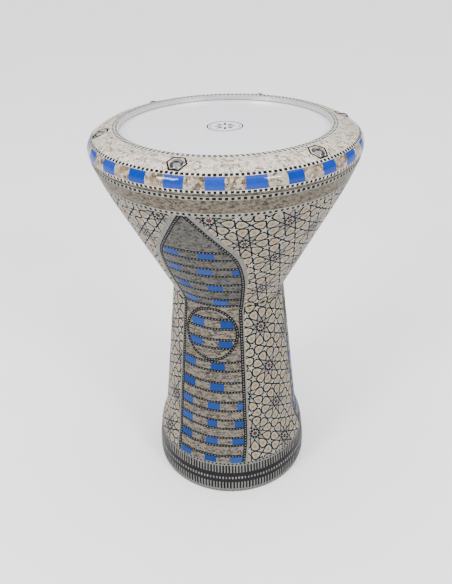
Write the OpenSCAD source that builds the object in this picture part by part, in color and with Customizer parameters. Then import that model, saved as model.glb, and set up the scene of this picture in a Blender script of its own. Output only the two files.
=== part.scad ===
// Goblet drum with a cast shell, a screwed tuning ring and an inlaid resin veneer.
// Millimetres. The foot stands on z = 0, the drum's axis is Z and the front faces -Y.
// Angles around the drum are measured from the front, positive towards +X.

/* [Overall size] */
// Smallest outside radius of the neck
waist_r = 64.9; // [60:0.1:70]
// Height of the neck's narrowest point
waist_z = 249.3; // [240:0.1:260]
// Radius of the head opening in the tuning ring
mouth_r = 109.6; // [105:0.1:112]

/* [Shell casting] */
// Metal wall of the shell
wall = 5.5; // [4:0.5:8]
// Inside radius of the wall that carries the head
bearing_in_r = 112; // [110:0.5:113]
// Outside radius of the wall that carries the head
bearing_out_r = 116.5; // [115:0.5:118]
// Height of the rounded bearing edge
bearing_z = 434; // [430:0.5:435]
// Height of the flat flange under the tuning ring
flange_z = 412.6; // [411:0.1:413]
// Thickness of the inlaid veneer
skin = 1.1; // [0.8:0.1:1.5]

/* [Head] */
// Thickness of the film
film_t = 0.3; // [0.2:0.05:0.5]
// Radial thickness of the flesh hoop
hoop_w = 4.5; // [3:0.5:5]

/* [Tuning bolts] */
// Radius of the circle that the bolts stand on
bolt_circle_r = 128; // [126:0.5:129]
// Direction of the first bolt, in degrees from the front
bolt_first = -19.5; // [-30:0.5:30]
// Radius of the domed head
bolt_head_r = 5.8; // [5:0.1:6]
// Radius of the shank, the size of an M6 thread
shank_r = 2.95; // [2.5:0.05:3]
// Width across the flats of the key socket
socket_af = 4; // [3:0.5:5]
// Corner radius of the black hexagon around each bolt
hex_r = 10.2; // [9:0.1:11]

/* [Inlay] */
// Direction of the middle of the first pointed panel
panel_first = -18.2; // [-30:0.1:30]
// Half width of a pointed panel on the stem, in degrees
panel_half = 31.2; // [25:0.1:33]
// Width of the chain border around a pointed panel
frame_w = 3.4; // [2:0.1:5]
// Height of a chain line
chain_h = 2.8; // [2:0.1:4]
// Direction of the first blue tile on the ring
tile_first = -19.2; // [-30:0.1:30]
// Width of a blue tile on the ring, in degrees
tile_wide = 7; // [5:0.1:9]

/* [Hidden] */
$fn = 96;

// Points along an arc in the radius and height plane
function arc(c, r, a0, a1, n) =
  [for (i = [0:n]) let (a = a0 + (a1 - a0) * i / n) [c[0] + r * cos(a), c[1] + r * sin(a)]];
function rev(v) = [for (i = [len(v) - 1:-1:0]) v[i]];

// Outside of the shell, as height and radius pairs from the foot to the flange
neck_arc = [for (i = [0:10]) let (a = -6.2 + 33.2 * i / 10)
  [waist_z + 28 * sin(a), waist_r + 28 * (1 - cos(a))]];
outside = concat(
  [[0, 94.4], [0.6, 94.9], [3, 95.5], [12, 95.8], [23, 95.2], [34, 93.7], [44, 92.7]],
  [[49, 91.8], [54, 90.6], [58.5, 89.2], [63, 87.5], [67, 86], [71, 84.8], [75, 83.9], [80, 83.2]],
  neck_arc,
  [[360, 118], [374, 124.9], [384, 129.5], [392, 133], [400, 136.3], [407, 139], [410.5, 140.2],
   [412, 140.2], [flange_z, 139.8]]
);
function r_at(z) = lookup(z, outside);
function heights(z0, z1) = concat(
  [z0], [for (p = outside) if (p[0] > z0 + 0.01 && p[0] < z1 - 0.01) p[0]], [z1]);
// A layer between two depths under the outside, from height z0 to z1
function layer(z0, z1, d0, d1) = concat(
  [for (z = heights(z0, z1)) [r_at(z) - d1, z]],
  rev([for (z = heights(z0, z1)) [r_at(z) - d0, z]])
);

// Outside of the tuning ring: three arcs, each as [centre, radius]
crown = [[113, 400], 40];
shoulder_c = crown[0] + (crown[1] - 12.5) * [cos(52), sin(52)];
shoulder = [shoulder_c, 12.5];
side = [shoulder_c + [-3.5, 0], 16];
// Inlay zones along those arcs: [arc, from angle, to angle, steps]
mouth_zone = [[crown, 94.9, 84.3, 4]];
top_zone = [[crown, 84.3, 54.6, 8]];
upper_zone = [[crown, 54.6, 52, 1], [shoulder, 52, 44.5, 3]];
band_zone = [[shoulder, 44.5, 0, 9], [side, 0, -10, 2]];
lower_zone = [[side, -10, -22, 2]];
edge_zone = [[side, -22, -31.7, 2]];
function zone_line(zone, d) =
  [for (s = zone) each arc(s[0][0], s[0][1] - d, s[1], s[2], s[3])];
function zone_band(zone) = concat(zone_line(zone, 0), rev(zone_line(zone, skin)));
ring_zones = concat(mouth_zone, top_zone, upper_zone, band_zone, lower_zone, edge_zone);

// Pointed panel seen from the front, as half width and height
stem_heights = [81.6, 160, 238, 250.4];
base = [[43.3, 38], [43.5, 56.2], [43.3, 66.2]];
arch = [[35.4, 258.8], [37.4, 268.3], [39.8, 280.2], [41.8, 291.3], [43, 304], [43, 317.4],
  [41.5, 330], [37.5, 340.3], [31.7, 350], [24.8, 360.3], [18.3, 370], [11.5, 380.2]];
panel_side = concat(base, [for (z = stem_heights) [r_at(z) * sin(panel_half), z]], arch);
// Where the outer and the inner outline of the border would come to a point
arch_top = 396.4;
inner_top = 388.4;
// Turn of all the blue tiles inside a panel, in degrees
tile_turn = -0.4;
last = len(panel_side) - 1;
function across(i) = let (
  a = panel_side[max(i - 1, 0)], b = panel_side[min(i + 1, last)], d = b - a
) [-d[1], d[0]] / norm(d);
inner_side = [for (i = [0:last]) panel_side[i] + frame_w * across(i)];
function both_sides(side_points, top) = concat(
  side_points, [[0, top]], rev([for (p = side_points) [-p[0], p[1]]]));

// Strips inside a pointed panel: top line, bottom line, then blue tiles as degrees from
// the middle of the panel. The last strip ends at the foot.
cone_strips = [
  [341.7, 330.7, [[-18.1, -8.9], [2.3, 11.3]]],
  [317.3, 306, [[-22.7, -13.1], [-1.1, 8.6], [20.9, 29]]],
  [291.3, 280, [[-23.9, -12.2], [2.3, 14.1]]],
  [266, 255, [[-25.9, -12.7], [3.9, 17.4]]]
];
stem_strips = [
  [183.3, 171.7, [[-29, -14.7], [0.6, 13.6]]],
  [156, 143.3, [[-29, -14.7], [-0.1, 12.6]]],
  [129.3, 117.3, [[-29, -16.4], [-2.2, 8.9], [23.9, 29]]],
  [104.3, 92.3, [[-29, -16.9], [-2.2, 6.6], [21.4, 29]]],
  [79, 68.3, [[-29, -16.4], [-3.4, 6.9], [19.1, 29]]],
  [55.7, 43.1, [[-25.1, -15.1], [-3.1, 6.4], [17.3, 29]]]
];
strips = concat(cone_strips, stem_strips);
// The oval in the middle of a panel: height of its centre, half width and half height
medallion_z = 218.5;
medallion_size = [30.6, 33.4];
medallion_strips = [
  [237.7, 225.7, [[-19.7, -6.1], [10.3, 22.8]]],
  [212.3, 201.3, [[-21.7, -7.7], [8.6, 21.3]]]
];
half_line = chain_h / 2;
panel_foot = 46.5;
seat_z = 431.5;
insert_low = 398;

// Helpers
module turned(points) { rotate_extrude($fn = 180) polygon(points); }
module sector(points, a0, a1) {
  rotate([0, 0, a0 - 90]) rotate_extrude(angle = a1 - a0, $fn = 180) polygon(points);
}
module each_panel() { for (k = [0:2]) rotate([0, 0, panel_first + 120 * k]) children(); }
module each_bolt() { for (k = [0:5]) at_bolt(k) children(); }
module at_bolt(k) { rotate([0, 0, bolt_first + 60 * k]) translate([0, -bolt_circle_r, 0]) children(); }
module front_prism(points) { rotate([90, 0, 0]) linear_extrude(160) polygon(points); }
module inner_prism() { front_prism(both_sides(inner_side, inner_top)); }
module outer_prism() { front_prism(both_sides(panel_side, arch_top)); }
module medallion_prism(shrink) {
  w = medallion_size[0] - shrink;
  h = medallion_size[1] - shrink;
  front_prism([for (i = [0:59]) [w * cos(6 * i), medallion_z + h * sin(6 * i)]]);
}
module slab(z0, z1) { sector(layer(z0, z1, 0, skin), -35, 35); }
// The hexagons are a little flattened and set inwards from their bolts
module hex_prism(r) {
  translate([0, 0.5, 420]) linear_extrude(30)
    polygon([for (k = [0:5]) [r * cos(60 * k), 0.93 * r * sin(60 * k)]]);
}

// Metal
module shell() {
  inner = concat(
    [[r_at(0) - skin - wall, 0]],
    [for (z = heights(0, 346)) if (z > 1) [r_at(z) - skin - wall, z]],
    [[bearing_in_r - 0.8, 349.5], [bearing_in_r, 353]]
  );
  crown_r = (bearing_out_r - bearing_in_r) / 2;
  crown_c = [bearing_in_r + crown_r, bearing_z - crown_r];
  outer = [for (z = heights(0, flange_z)) [r_at(z) - skin, z]];
  color([0.72, 0.73, 0.74]) difference() {
    turned(concat(outer, [[bearing_out_r, flange_z]], arc(crown_c, crown_r, 0, 180, 12), rev(inner)));
    each_bolt() translate([0, 0, insert_low]) cylinder(r = 5, h = 20);
    each_bolt() translate([0, 0, insert_low - 4]) cylinder(r = 3.3, h = 10);
  }
}
module threaded_inserts() {
  color([0.8, 0.62, 0.28]) each_bolt() difference() {
    translate([0, 0, insert_low]) cylinder(r = 5, h = flange_z - insert_low);
    translate([0, 0, insert_low - 1]) cylinder(r = 3.05, h = 20);
  }
}
module tuning_ring() {
  under = [[139, 413.2], [122, 413.2], [122, 422.8], [117.5, 422.8], [117.5, 432.8], [115, 435],
    [mouth_r + 0.07, 435]];
  color([0.75, 0.76, 0.77]) difference() {
    turned(concat(zone_line(ring_zones, skin), under));
    each_bolt() translate([0, 0, 410]) cylinder(r = 3.3, h = 40);
    each_bolt() translate([0, 0, seat_z]) cylinder(r = 6.3, h = 20);
  }
}
module bolt_washers() {
  color([0.8, 0.8, 0.82]) each_bolt() difference() {
    translate([0, 0, seat_z]) cylinder(r = 6.1, h = 0.8);
    translate([0, 0, seat_z - 1]) cylinder(r = 3.3, h = 3);
  }
}
module tension_bolt(k) {
  head_z = seat_z + 0.9;
  dome = 3.6;
  dome_r = (bolt_head_r * bolt_head_r + dome * dome) / (2 * dome);
  color([0.82, 0.83, 0.85]) at_bolt(k) difference() {
    union() {
      translate([0, 0, 396]) cylinder(r = shank_r, h = head_z - 395);
      translate([0, 0, head_z]) cylinder(r = bolt_head_r, h = 2.5);
      intersection() {
        translate([0, 0, head_z + 2.5 + dome - dome_r]) sphere(r = dome_r);
        translate([0, 0, head_z + 2.5]) cylinder(r = bolt_head_r + 1, h = 6);
      }
    }
    translate([0, 0, head_z + 3.4]) cylinder(r = socket_af / 2 / cos(30), h = 5, $fn = 6);
  }
}
module tension_bolt_1() { tension_bolt(0); }
module tension_bolt_2() { tension_bolt(1); }
module tension_bolt_3() { tension_bolt(2); }
module tension_bolt_4() { tension_bolt(3); }
module tension_bolt_5() { tension_bolt(4); }
module tension_bolt_6() { tension_bolt(5); }

// Head
crown_half = (bearing_out_r - bearing_in_r) / 2;
edge_c = [bearing_in_r + crown_half, bearing_z - crown_half];
module drumhead_film() {
  color([0.93, 0.93, 0.95]) turned(concat(
    [[0, bearing_z], [edge_c[0], bearing_z]],
    rev(arc(edge_c, crown_half, 0, 75, 5)),
    arc(edge_c, crown_half + film_t, 0, 90, 6),
    [[0, bearing_z + film_t]]
  ));
}
module head_collar() {
  color([0.9, 0.9, 0.92]) translate([0, 0, 418]) difference() {
    cylinder(r = bearing_out_r + film_t, h = edge_c[1] - 418, $fn = 180);
    translate([0, 0, -1]) cylinder(r = bearing_out_r, h = 20, $fn = 180);
  }
}
module head_hoop() {
  color([0.7, 0.7, 0.72]) translate([0, 0, 417.5]) difference() {
    cylinder(r = bearing_out_r + film_t + hoop_w, h = 5, $fn = 180);
    translate([0, 0, -1]) cylinder(r = bearing_out_r + film_t, h = 7, $fn = 180);
  }
}

// Inlay on the tuning ring
module ring_mouth_checker() { color([0.9, 0.88, 0.84]) turned(zone_band(mouth_zone)); }
module ring_top_veneer() {
  color([0.8, 0.77, 0.72]) difference() {
    turned(zone_band(top_zone));
    each_bolt() hex_prism(hex_r);
  }
}
module hex_borders() {
  color([0.08, 0.08, 0.09]) intersection() {
    turned(zone_band(top_zone));
    each_bolt() difference() {
      hex_prism(hex_r);
      hex_prism(hex_r - 1.6);
    }
  }
}
module hex_fields() {
  color([0.88, 0.86, 0.82]) intersection() {
    turned(zone_band(top_zone));
    each_bolt() difference() {
      hex_prism(hex_r - 1.6);
      translate([0, 0, 410]) cylinder(r = 6.3, h = 50);
    }
  }
}
module ring_upper_dots() { color([0.9, 0.88, 0.84]) turned(zone_band(upper_zone)); }
module ring_band_blue() {
  color([0.16, 0.42, 0.8]) for (k = [0:23])
    sector(zone_band(band_zone), tile_first + 15 * k - tile_wide / 2,
      tile_first + 15 * k + tile_wide / 2);
}
module ring_band_pearl() {
  color([0.68, 0.62, 0.54]) for (k = [0:23])
    sector(zone_band(band_zone), tile_first + 15 * k + tile_wide / 2,
      tile_first + 15 * (k + 1) - tile_wide / 2);
}
module ring_lower_dots() { color([0.9, 0.88, 0.84]) turned(zone_band(lower_zone)); }
module ring_edge_strip() { color([0.72, 0.69, 0.64]) turned(zone_band(edge_zone)); }

// Inlay on the shell
module shell_ring(z0, z1) { turned(layer(z0, z1, 0, skin)); }
module collar_dots() { color([0.88, 0.86, 0.8]) shell_ring(408.8, flange_z); }
module collar_band() { color([0.68, 0.64, 0.57]) shell_ring(394, 408.8); }
module cone_dots() { color([0.88, 0.86, 0.8]) shell_ring(389.6, 394); }
module star_panels() {
  color([0.55, 0.53, 0.49]) each_panel() difference() {
    sector(layer(panel_foot, 389.6, 0, skin), 0, 120);
    outer_prism();
    rotate([0, 0, 120]) outer_prism();
  }
}
module panel_frames() {
  color([0.1, 0.1, 0.11]) each_panel() difference() {
    intersection() {
      slab(panel_foot, 389.6);
      outer_prism();
    }
    inner_prism();
  }
}
module lines_of(list) {
  for (s = list) {
    slab(s[0] - half_line, s[0] + half_line);
    if (s[1] > panel_foot) slab(s[1] - half_line, s[1] + half_line);
  }
}
module panel_chain_lines() {
  color([0.1, 0.1, 0.11]) each_panel() {
    intersection() {
      lines_of(strips);
      inner_prism();
    }
    intersection() {
      lines_of(medallion_strips);
      medallion_prism(3.2);
    }
  }
}
module tiles_of(list) {
  for (s = list) for (t = s[2]) sector(
    layer(max(s[1] + half_line, panel_foot), s[0] - half_line, 0, skin),
    t[0] + tile_turn, t[1] + tile_turn);
}
module panel_blue_tiles() {
  color([0.16, 0.36, 0.66]) each_panel() {
    intersection() {
      tiles_of(strips);
      inner_prism();
    }
    intersection() {
      tiles_of(medallion_strips);
      medallion_prism(3.2);
    }
  }
}
module medallion_rings() {
  color([0.1, 0.1, 0.11]) each_panel() intersection() {
    slab(180, 256);
    difference() {
      medallion_prism(0);
      medallion_prism(3.2);
    }
    inner_prism();
  }
}
// Pearl between the two lines of a strip, on either side of its blue tiles
function field_angles(tiles) = concat(
  [-35], [for (t = tiles) each [t[0] + tile_turn, t[1] + tile_turn]], [35]);
module fields_of(list) {
  for (s = list) {
    a = field_angles(s[2]);
    for (i = [0:2:len(a) - 2]) if (a[i + 1] > -28 && a[i] < 28) sector(
      layer(max(s[1] + half_line, panel_foot), s[0] - half_line, 0, skin), a[i], a[i + 1]);
  }
}
// Plain pearl between one strip and the next
module gaps_between(list, top, low) {
  n = len(list);
  for (i = [0:n]) {
    z1 = i == 0 ? top : list[i - 1][1] - half_line;
    z0 = i == n ? low : list[i][0] + half_line;
    if (z1 > z0 + 0.1) slab(z0, z1);
  }
}
stem_top = cone_strips[3][1] - half_line;
medallion_low = stem_strips[0][0] + half_line;
module panel_pearl() {
  color([0.66, 0.63, 0.57]) each_panel() {
    intersection() {
      union() {
        fields_of(stem_strips);
        gaps_between(stem_strips, medallion_low, panel_foot);
      }
      inner_prism();
    }
    difference() {
      intersection() {
        slab(medallion_low, stem_top);
        inner_prism();
      }
      medallion_prism(0);
    }
  }
}
module arch_pearl() {
  color([0.62, 0.6, 0.55]) each_panel() intersection() {
    union() {
      fields_of(cone_strips);
      gaps_between(cone_strips, 389.6, stem_top);
    }
    inner_prism();
  }
}
module medallion_pearl() {
  color([0.7, 0.66, 0.6]) each_panel() intersection() {
    union() {
      fields_of(medallion_strips);
      gaps_between(medallion_strips, 256, 180);
    }
    medallion_prism(3.2);
  }
}
module foot_dots() { color([0.88, 0.86, 0.8]) shell_ring(43.2, panel_foot); }
module foot_upper_stripes() { color([0.6, 0.59, 0.56]) shell_ring(31.5, 43.2); }
module foot_upper_groove() { color([0.06, 0.06, 0.07]) shell_ring(26.2, 31.5); }
module foot_dash_bead() { color([0.5, 0.49, 0.47]) shell_ring(21.8, 26.2); }
module foot_lower_groove() { color([0.06, 0.06, 0.07]) shell_ring(17.2, 21.8); }
module foot_lower_stripes() { color([0.6, 0.59, 0.56]) shell_ring(5.2, 17.2); }
module foot_edge_strip() { color([0.88, 0.86, 0.8]) shell_ring(0.6, 5.2); }

shell();
threaded_inserts();
drumhead_film();
head_collar();
head_hoop();
tuning_ring();
bolt_washers();
tension_bolt_1();
tension_bolt_2();
tension_bolt_3();
tension_bolt_4();
tension_bolt_5();
tension_bolt_6();
ring_mouth_checker();
ring_top_veneer();
hex_borders();
hex_fields();
ring_upper_dots();
ring_band_pearl();
ring_band_blue();
ring_lower_dots();
ring_edge_strip();
collar_dots();
collar_band();
cone_dots();
star_panels();
panel_frames();
panel_chain_lines();
panel_pearl();
arch_pearl();
medallion_pearl();
panel_blue_tiles();
medallion_rings();
foot_dots();
foot_upper_stripes();
foot_upper_groove();
foot_dash_bead();
foot_lower_groove();
foot_lower_stripes();
foot_edge_strip();
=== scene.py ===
"""Goblet drum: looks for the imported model.

Work is in millimetres around the drum's axis and is turned into metres where a mesh is made.
Angles around the drum are in degrees from the front, positive towards +X.
"""
import math
import random

import bmesh
import bpy
from mathutils import Matrix, Vector


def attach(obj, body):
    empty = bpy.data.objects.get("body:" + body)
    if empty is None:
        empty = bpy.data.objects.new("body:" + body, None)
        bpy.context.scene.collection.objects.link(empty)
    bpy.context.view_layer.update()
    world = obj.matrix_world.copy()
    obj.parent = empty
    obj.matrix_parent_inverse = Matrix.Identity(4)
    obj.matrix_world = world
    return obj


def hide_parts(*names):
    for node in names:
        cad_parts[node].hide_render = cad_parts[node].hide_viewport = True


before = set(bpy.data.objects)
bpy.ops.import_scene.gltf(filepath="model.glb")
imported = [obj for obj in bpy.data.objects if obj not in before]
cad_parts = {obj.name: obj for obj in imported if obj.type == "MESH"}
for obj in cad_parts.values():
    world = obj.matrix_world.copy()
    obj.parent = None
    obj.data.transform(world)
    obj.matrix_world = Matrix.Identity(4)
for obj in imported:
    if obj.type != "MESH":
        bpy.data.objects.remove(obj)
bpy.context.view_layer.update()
rng = random.Random(7)
MM = 0.001


def add_object(name, data):
    thing = bpy.data.objects.new(name, data)
    bpy.context.scene.collection.objects.link(thing)
    return thing


# ------ camera
def make_camera():
    pitch, yaw, roll = math.radians(30.23), math.radians(-0.73), math.radians(-1.64)
    level = math.cos(pitch)
    forward = Vector((math.sin(yaw) * level, math.cos(yaw) * level, -math.sin(pitch)))
    right = Vector((math.cos(yaw), -math.sin(yaw), 0))
    up = right.cross(forward)
    tilted_right = math.cos(roll) * right + math.sin(roll) * up
    tilted_up = -math.sin(roll) * right + math.cos(roll) * up
    data = bpy.data.cameras.new("camera")
    data.sensor_width = 36
    data.lens = 38.74
    data.shift_x = 0.0075
    data.shift_y = -0.0073
    data.clip_start = 0.01
    data.clip_end = 50
    camera = add_object("camera", data)
    rows = Matrix((tilted_right, tilted_up, -forward)).transposed()
    camera.matrix_world = Matrix.Translation(Vector((0, -0.6466, 0.6174))) @ rows.to_4x4()
    bpy.context.scene.camera = camera


# ------ surfaces
WAIST_R, WAIST_Z = 64.9, 249.3
NECK = []
for i in range(11):
    bend = math.radians(-6.2 + 3.32 * i)
    NECK.append((WAIST_Z + 28 * math.sin(bend), WAIST_R + 28 * (1 - math.cos(bend))))
OUTSIDE = [
    (0, 94.4), (0.6, 94.9), (3, 95.5), (12, 95.8), (23, 95.2), (34, 93.7), (44, 92.7), (49, 91.8),
    (54, 90.6), (58.5, 89.2), (63, 87.5), (67, 86), (71, 84.8), (75, 83.9), (80, 83.2),
    *NECK, (360, 118), (374, 124.9), (384, 129.5), (392, 133), (400, 136.3), (407, 139),
    (410.5, 140.2), (412, 140.2), (412.6, 139.8),
]


def along(table, key):
    """Straight-line lookup in a list of (key, value) pairs."""
    if key <= table[0][0]:
        return table[0][1]
    for (a, va), (b, vb) in zip(table, table[1:]):
        if key <= b:
            return va + (vb - va) * (key - a) / (b - a)
    return table[-1][1]


def shell_r(z):
    return along(OUTSIDE, z)


def shell_point(az, z, h=0.0):
    """Point and outward normal on the shell, h above its surface."""
    slope = math.atan((shell_r(z + 1.5) - shell_r(z - 1.5)) / 3.0)
    if z > 409 or z < 4:
        slope = 0.0
    r = shell_r(z) + h * math.cos(slope)
    a = math.radians(az)
    outward = Vector((math.cos(slope) * math.sin(a), -math.cos(slope) * math.cos(a), -math.sin(slope)))
    return Vector((r * math.sin(a), -r * math.cos(a), z - h * math.sin(slope))) * MM, outward


# The ring's outside: three arcs as (centre r, centre z, radius, from angle, to angle)
JOIN = math.radians(52)
SHOULDER_R = 113 + 27.5 * math.cos(JOIN)
SHOULDER_Z = 400 + 27.5 * math.sin(JOIN)
RING_ARCS = [
    (113, 400, 40, 94.9, 52),
    (SHOULDER_R, SHOULDER_Z, 12.5, 52, 0),
    (SHOULDER_R - 3.5, SHOULDER_Z, 16, 0, -31.7),
]
FILM_TOP = 434.3
RECESS_R = 6.3
BOLT_CIRCLE = 128
FIRST_BOLT = -19.5
FIRST_TILE = -19.2
ARC_LENGTH = [a[2] * math.radians(a[3] - a[4]) for a in RING_ARCS]
RING_LENGTH = sum(ARC_LENGTH)


def ring_profile(t):
    """Radius, height and slope angle at t mm along the ring's outside, from the mouth."""
    for arc, length in zip(RING_ARCS, ARC_LENGTH):
        if t <= length or arc is RING_ARCS[-1]:
            angle = math.radians(arc[3]) - t / arc[2]
            return arc[0] + arc[2] * math.cos(angle), arc[1] + arc[2] * math.sin(angle), angle
        t -= length


def ring_point(az, t, h=0.0):
    r, z, angle = ring_profile(t)
    r += h * math.cos(angle)
    z += h * math.sin(angle)
    a = math.radians(az)
    outward = Vector((math.cos(angle) * math.sin(a), -math.cos(angle) * math.cos(a), math.sin(angle)))
    return Vector((r * math.sin(a), -r * math.cos(a), z)) * MM, outward


def ring_top_z(r):
    return 400 + math.sqrt(1600 - (r - 113) ** 2)


# ------ mesh building
def set_in(name, mesh, material, body):
    """Puts a finished mesh into the scene as a piece that rides on a body."""
    mesh.materials.append(material)
    piece = add_object(name, mesh)
    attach(piece, body)
    return piece


class Pieces:
    """Gathers closed thin plates into one mesh with true surface normals on their tops."""

    def __init__(self, surface, low, high):
        self.surface, self.low, self.high = surface, low, high
        self.points, self.faces, self.tops, self.normals, self.core = [], [], [], {}, {}

    def add(self, u, v, h, core=None):
        point, normal = self.surface(u, v, h)
        self.points.append(point)
        index = len(self.points) - 1
        self.normals[index] = normal
        if core is not None:
            self.core[index] = core
        return index

    def polygon(self, outline, centre=True):
        """A plate from an outline of (u, v) points, anticlockwise seen from outside."""
        count = len(outline)
        top = [self.add(u, v, self.high, 0.0) for u, v in outline]
        foot = [self.add(u, v, self.low) for u, v in outline]
        if centre:
            mid_u = sum(p[0] for p in outline) / count
            mid_v = sum(p[1] for p in outline) / count
            hub = self.add(mid_u, mid_v, self.high, 1.0)
            for k in range(count):
                self.face([hub, top[k], top[(k + 1) % count]], True)
        else:
            self.face(top, True)
        for k in range(count):
            n = (k + 1) % count
            self.wall(top[k], foot[k], foot[n], top[n])
        self.face(list(reversed(foot)), False)

    def patch(self, rows):
        """A plate from a grid: each row is a list of (u, v), rows run upwards, u to the right."""
        top = [[self.add(u, v, self.high, 0.5) for u, v in row] for row in rows]
        foot = [[self.add(u, v, self.low) for u, v in row] for row in rows]
        for j in range(len(rows) - 1):
            for i in range(len(rows[0]) - 1):
                self.face([top[j][i], top[j][i + 1], top[j + 1][i + 1], top[j + 1][i]], True)
                self.wall(foot[j][i], foot[j + 1][i], foot[j + 1][i + 1], foot[j][i + 1])
        for i in range(len(rows[0]) - 1):
            self.wall(top[0][i], foot[0][i], foot[0][i + 1], top[0][i + 1])
            self.wall(top[-1][i + 1], foot[-1][i + 1], foot[-1][i], top[-1][i])
        for j in range(len(rows) - 1):
            self.wall(top[j + 1][0], foot[j + 1][0], foot[j][0], top[j][0])
            self.wall(top[j][-1], foot[j][-1], foot[j + 1][-1], top[j + 1][-1])

    def face(self, corners, is_top):
        self.faces.append(corners)
        self.tops.append(is_top)

    def wall(self, *corners):
        self.face(corners, False)

    def build(self, name, material, body, slot):
        mesh = bpy.data.meshes.new(name)
        mesh.from_pydata([tuple(p) for p in self.points], [], self.faces)
        mesh.update()
        custom = []
        for poly, is_top in zip(mesh.polygons, self.tops):
            poly.use_smooth = is_top
            for corner in poly.vertices:
                custom.append(tuple(self.normals[corner]) if is_top else (0, 0, 0))
        mesh.normals_split_custom_set(custom)
        layer = mesh.attributes.new("core", "FLOAT", "POINT")
        for index, value in self.core.items():
            layer.data[index].value = value
        return set_in(name, mesh, material, body)


def revolve(name, profile, material, body, steps=288):
    """A closed turned solid from a closed (radius, height) outline in mm."""
    points, faces = [], []
    count = len(profile)
    for k in range(steps):
        a = 2 * math.pi * k / steps
        for r, z in profile:
            points.append((r * math.sin(a) * MM, -r * math.cos(a) * MM, z * MM))
    for k in range(steps):
        n = (k + 1) % steps
        for i in range(count):
            j = (i + 1) % count
            faces.append([k * count + i, n * count + i, n * count + j, k * count + j])
    mesh = bpy.data.meshes.new(name)
    mesh.from_pydata(points, [], faces)
    mesh.update()
    mesh.shade_smooth()
    mesh.set_sharp_from_angle(angle=math.radians(20))
    return set_in(name, mesh, material, body)


# ------ materials
class Shader:
    """Small helper around one node material."""

    def __init__(self, name):
        self.material = bpy.data.materials.new(name)
        self.material.use_nodes = True
        self.tree = self.material.node_tree
        self.tree.nodes.clear()
        output = self.make("OutputMaterial")
        self.main = self.make("BsdfPrincipled")
        self.link(self.main.outputs[0], output.inputs[0])
        self.place = self.make("TexCoord").outputs["Object"]

    def link(self, a, b):
        self.tree.links.new(a, b)

    def set(self, **values):
        for key, value in values.items():
            self.main.inputs[key.replace("_", " ")].default_value = value

    def make(self, kind, **values):
        """A node with its inputs set or linked; an underscore stands for a space in a name."""
        node = self.tree.nodes.new("ShaderNode" + kind)
        for key, value in values.items():
            socket = node.inputs[key.replace("_", " ")]
            if isinstance(value, bpy.types.NodeSocket):
                self.link(value, socket)
            else:
                socket.default_value = value
        return node

    def noise(self, scale, detail=3, rough=0.55, place=None):
        node = self.make("TexNoise", Scale=scale, Detail=detail, Roughness=rough,
                         Vector=place or self.place)
        return node.outputs["Fac"]

    def cells(self, scale, place=None):
        """A random value for each cell of crushed shell."""
        color = self.make("TexVoronoi", Scale=scale, Vector=place or self.place).outputs["Color"]
        return self.make("SeparateColor", Color=color).outputs[0]

    def stretch(self, scale):
        return self.make("Mapping", Scale=scale, Vector=self.place).outputs[0]

    def warp(self, amount, scale, place=None):
        """Coordinates pushed about by noise, so that cells lose their straight edges."""
        noise = self.make("TexNoise", Scale=scale, Detail=2, Vector=self.place)
        moved = self.make("VectorMath")
        moved.operation = "MULTIPLY_ADD"
        self.link(noise.outputs["Color"], moved.inputs[0])
        moved.inputs[1].default_value = (amount, amount, amount)
        self.link(place or self.place, moved.inputs[2])
        return moved.outputs[0]

    def gate(self, value, low, high, most=1.0):
        """0 below low, most above high, smooth between."""
        node = self.make("MapRange", Value=value, From_Min=low, From_Max=high, To_Max=most)
        node.interpolation_type = "SMOOTHSTEP"
        return node.outputs[0]

    def spread(self, value, low, high):
        return self.make("MapRange", Value=value, To_Min=low, To_Max=high).outputs[0]

    def ramp(self, value, stops):
        node = self.make("ValToRGB")
        elements = node.color_ramp.elements
        while len(elements) > 1:
            elements.remove(elements[-1])
        for k, (position, color) in enumerate(stops):
            element = elements[0] if k == 0 else elements.new(position)
            element.position = position
            element.color = (*color, 1)
        self.link(value, node.inputs[0])
        return node.outputs[0]

    def mix(self, factor, a, b, mode="MIX"):
        node = self.make("Mix")
        node.data_type = "RGBA"
        node.blend_type = mode
        node.clamp_result = False
        for value, socket in ((factor, node.inputs[0]), (a, node.inputs[6]), (b, node.inputs[7])):
            if isinstance(value, (int, float)):
                socket.default_value = value
            elif isinstance(value, tuple):
                socket.default_value = (*value, 1)
            else:
                self.link(value, socket)
        return node.outputs[2]

    def island(self):
        """A random value for each loose part of the mesh."""
        return self.make("NewGeometry").outputs["Random Per Island"]

    def core(self):
        """0 at a plate's rim and 1 in its middle."""
        node = self.make("Attribute")
        node.attribute_name = "core"
        return node.outputs["Fac"]

    def bump(self, value, strength, distance):
        node = self.make("Bump", Strength=strength, Distance=distance, Height=value)
        self.link(node.outputs[0], self.main.inputs["Normal"])

    def color(self, value):
        self.link(value, self.main.inputs["Base Color"])

    def rough(self, value):
        self.link(value, self.main.inputs["Roughness"])

    def gloss_coat(self, weight=0.3):
        """Clear polished resin over the inlay."""
        self.set(Coat_Weight=weight, Coat_Roughness=0.03, Coat_IOR=1.4, Specular_IOR_Level=0.0)


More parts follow.
